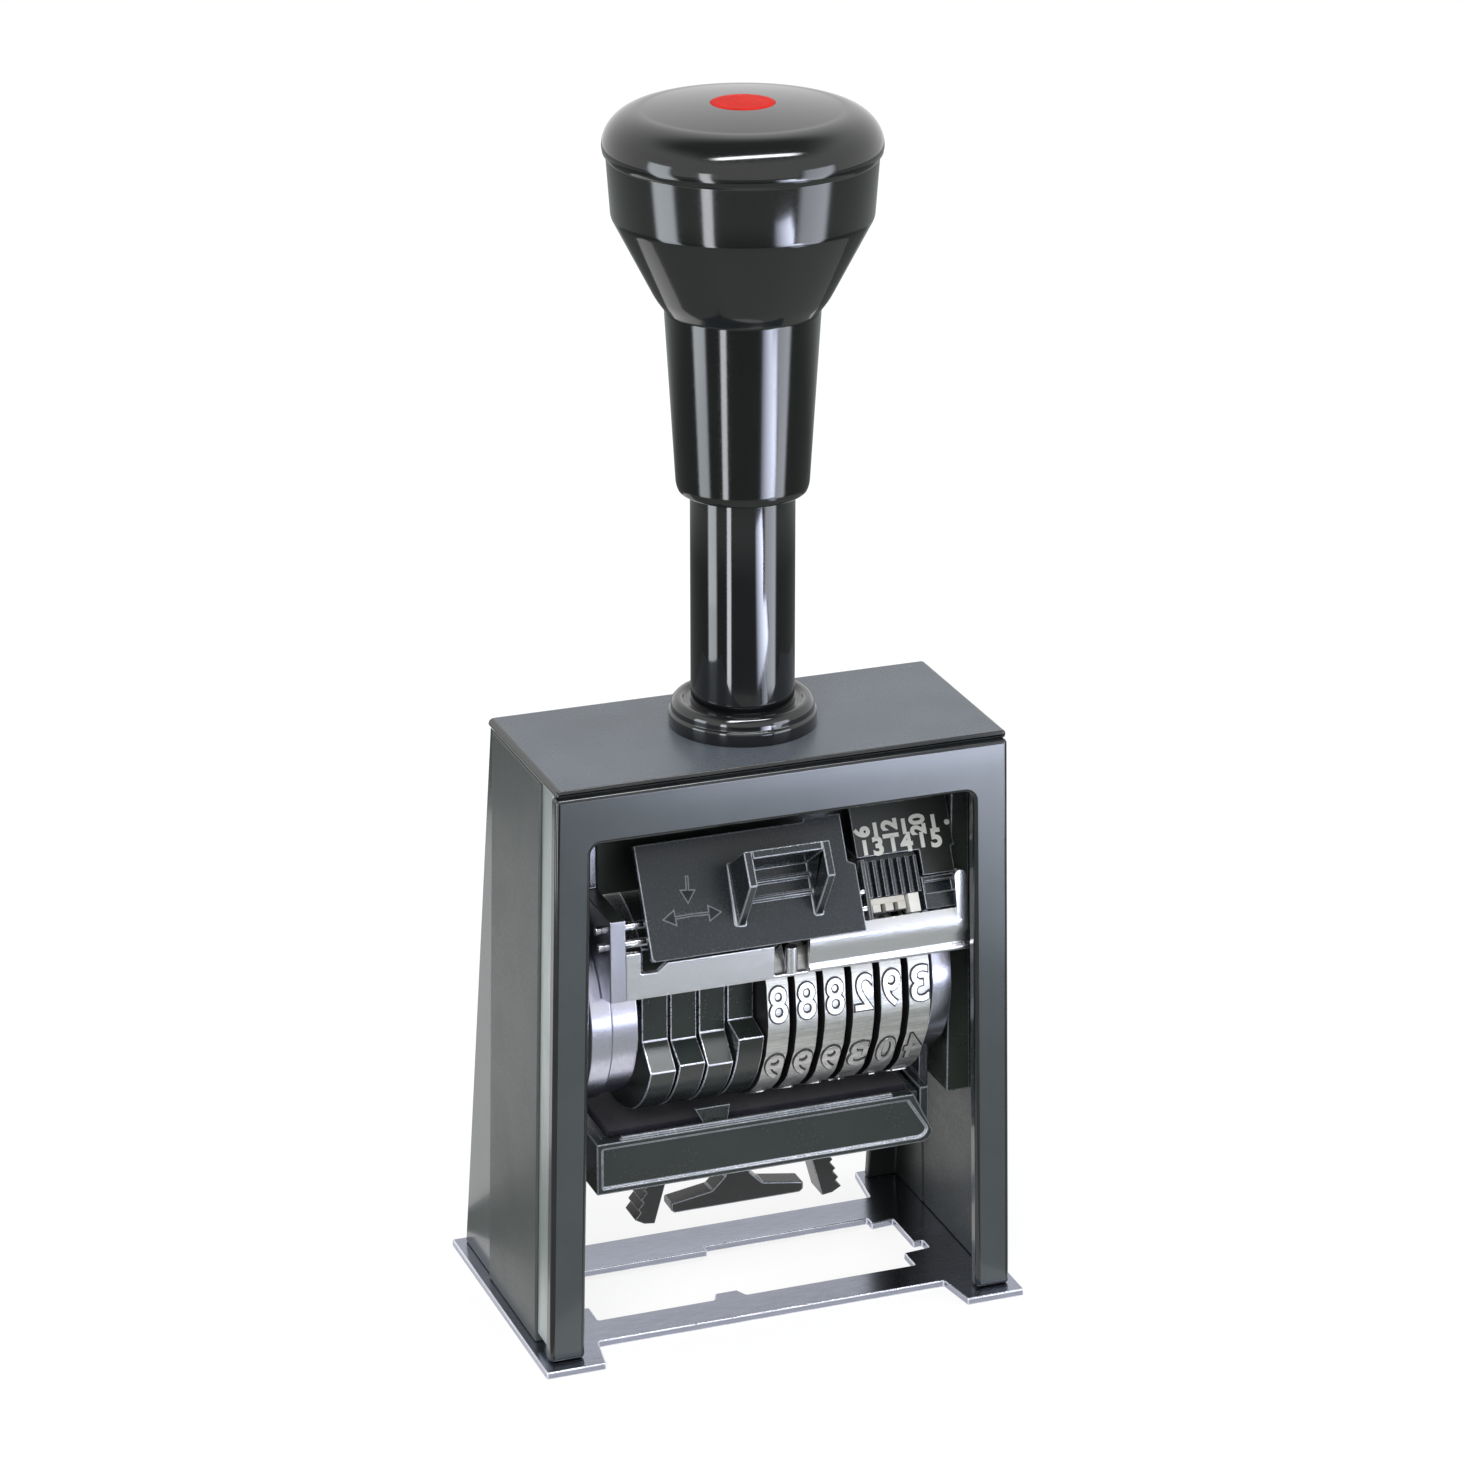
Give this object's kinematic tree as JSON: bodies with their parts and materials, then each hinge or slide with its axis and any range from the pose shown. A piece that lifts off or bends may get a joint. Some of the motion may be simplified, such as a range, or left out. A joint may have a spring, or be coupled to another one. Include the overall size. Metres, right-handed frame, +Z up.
{
  "type": "self-inking numbering machine",
  "caption": "Hand numbering machine: knob handle presses a carriage of figure wheels through the base window while the ink tray swings back.",
  "frame": {"origin": "middle of the base plate's underside, where the machine stands on the paper", "axes": "+Z up along the handle, +X to the right seen from the front, +Y from the front to the back; the selector's finger scoop is at the front"},
  "size_m": [0.0726, 0.044, 0.1755],
  "materials": {
    "base_steel": "bright satin pressed steel",
    "housing_paint": "dark grey stove enamel, semi-gloss",
    "panel_paint": "mid grey stove enamel, satin",
    "trim": "satin strip",
    "top_paint": "blue-grey enamel, satin",
    "black_metal": "black gloss enamel",
    "dark_steel": "dark steel",
    "rubber_black": "matt",
    "inner_frame": "dark grey-green enamel",
    "black_plastic": "moulded gloss black",
    "red_plastic": "gloss inlay",
    "bright_steel": "bright steel",
    "spring_steel": "spring wire",
    "wheel_metal": "satin plated, engraved figures",
    "disc_black": "black oxide",
    "selector_black": "dark satin",
    "ivory": "moulded",
    "tray_black": "moulded",
    "tray_grey": "moulded",
    "felt": "inked felt"
  },
  "bodies": {
    "housing": {"base_plate": "base_steel", "front_frame": "housing_paint", "left_side_panel": "panel_paint", "right_side_panel": "panel_paint", "left_trim_strip": "trim", "right_trim_strip": "trim", "rear_frame": "housing_paint", "top_plate": "top_paint", "guide_collar": "black_metal", "guide_tube": "black_metal", "tube_nut": "dark_steel", "bumper_ring": "rubber_black", "left_guide_rail": "inner_frame", "right_guide_rail": "inner_frame", "swing_studs": "dark_steel", "return_spring": "spring_steel"},
    "plunger": {"handle_grip": "black_plastic", "knob_cap": "black_plastic", "knob_inlay": "red_plastic", "plunger_rod": "bright_steel", "cap_screw": "dark_steel", "rod_nut": "dark_steel", "yoke": "inner_frame", "left_cheek": "bright_steel", "right_cheek": "bright_steel", "guide_shoes": "inner_frame", "wheel_axle": "bright_steel", "axle_clips": "dark_steel", "left_cross_bar": "bright_steel", "right_cross_bar": "bright_steel", "bar_pin": "bright_steel", "selector_rods": "bright_steel", "rod_bracket": "inner_frame", "scale_plate": "inner_frame", "detent_comb": "selector_black", "detent_rack": "ivory", "detent_leaf": "bright_steel", "stop_block": "selector_black", "pawl_rod": "bright_steel", "index_pawls": "spring_steel"},
    "wheel_1": {"digit_wheel_1": "wheel_metal"},
    "wheel_2": {"digit_wheel_2": "wheel_metal"},
    "wheel_3": {"digit_wheel_3": "wheel_metal"},
    "wheel_4": {"digit_wheel_4": "wheel_metal"},
    "wheel_5": {"digit_wheel_5": "wheel_metal"},
    "wheel_6": {"digit_wheel_6": "wheel_metal"},
    "repeat_drum": {"repeat_disc_1": "disc_black", "repeat_disc_2": "disc_black", "repeat_disc_3": "disc_black", "repeat_disc_4": "disc_black"},
    "selector_carrier": {"selector_slider": "selector_black"},
    "selector_key": {"selector_plate": "selector_black"},
    "tray": {"ink_tray": "tray_black", "tray_clip": "dark_steel", "left_swing_arm": "bright_steel", "right_swing_arm": "bright_steel"},
    "cartridge": {"ink_cartridge": "tray_black", "ink_pad": "felt", "cartridge_handle": "tray_grey", "cartridge_latches": "tray_grey"}
  },
  "joints": [
    {"name": "plunger_slide", "type": "slide", "parent": "housing", "child": "plunger", "axis": [0, 0, -1], "range_m": [0, 0.03], "stiffness_N_per_m": 400, "springref_m": -0.02, "deforming": ["return_spring"]},
    {"name": "wheel_1_spin", "type": "hinge", "parent": "plunger", "child": "wheel_1", "pos_m": [0, 0.0003, 0.0472], "axis": [1, 0, 0], "continuous": true},
    {"name": "wheel_2_spin", "type": "hinge", "parent": "plunger", "child": "wheel_2", "pos_m": [0, 0.0003, 0.0472], "axis": [1, 0, 0], "continuous": true},
    {"name": "wheel_3_spin", "type": "hinge", "parent": "plunger", "child": "wheel_3", "pos_m": [0, 0.0003, 0.0472], "axis": [1, 0, 0], "continuous": true},
    {"name": "wheel_4_spin", "type": "hinge", "parent": "plunger", "child": "wheel_4", "pos_m": [0, 0.0003, 0.0472], "axis": [1, 0, 0], "continuous": true},
    {"name": "wheel_5_spin", "type": "hinge", "parent": "plunger", "child": "wheel_5", "pos_m": [0, 0.0003, 0.0472], "axis": [1, 0, 0], "continuous": true},
    {"name": "wheel_6_spin", "type": "hinge", "parent": "plunger", "child": "wheel_6", "pos_m": [0, 0.0003, 0.0472], "axis": [1, 0, 0], "continuous": true},
    {"name": "repeat_drum_spin", "type": "hinge", "parent": "plunger", "child": "repeat_drum", "pos_m": [0, 0.0003, 0.0472], "axis": [1, 0, 0], "continuous": true},
    {"name": "selector_shift", "type": "slide", "parent": "plunger", "child": "selector_carrier", "axis": [1, 0, 0], "range_m": [-0.001, 0.009]},
    {"name": "selector_press", "type": "slide", "parent": "selector_carrier", "child": "selector_key", "axis": [0, -0.4695, -0.8829], "range_m": [0, 0.002], "stiffness_N_per_m": 300, "springref_m": -0.002},
    {"name": "tray_swing", "type": "hinge", "parent": "plunger", "child": "tray", "pos_m": [0, 0.0003, 0.0472], "axis": [1, 0, 0], "range_deg": [0, 90.5]},
    {"name": "cartridge_draw", "type": "slide", "parent": "tray", "child": "cartridge", "axis": [0, 0, -1], "range_m": [0, 0.0085]}
  ],
  "couplings": [
    {"joint": "tray_swing", "follows": "plunger_slide", "rad_per_m": 52.36}
  ]
}
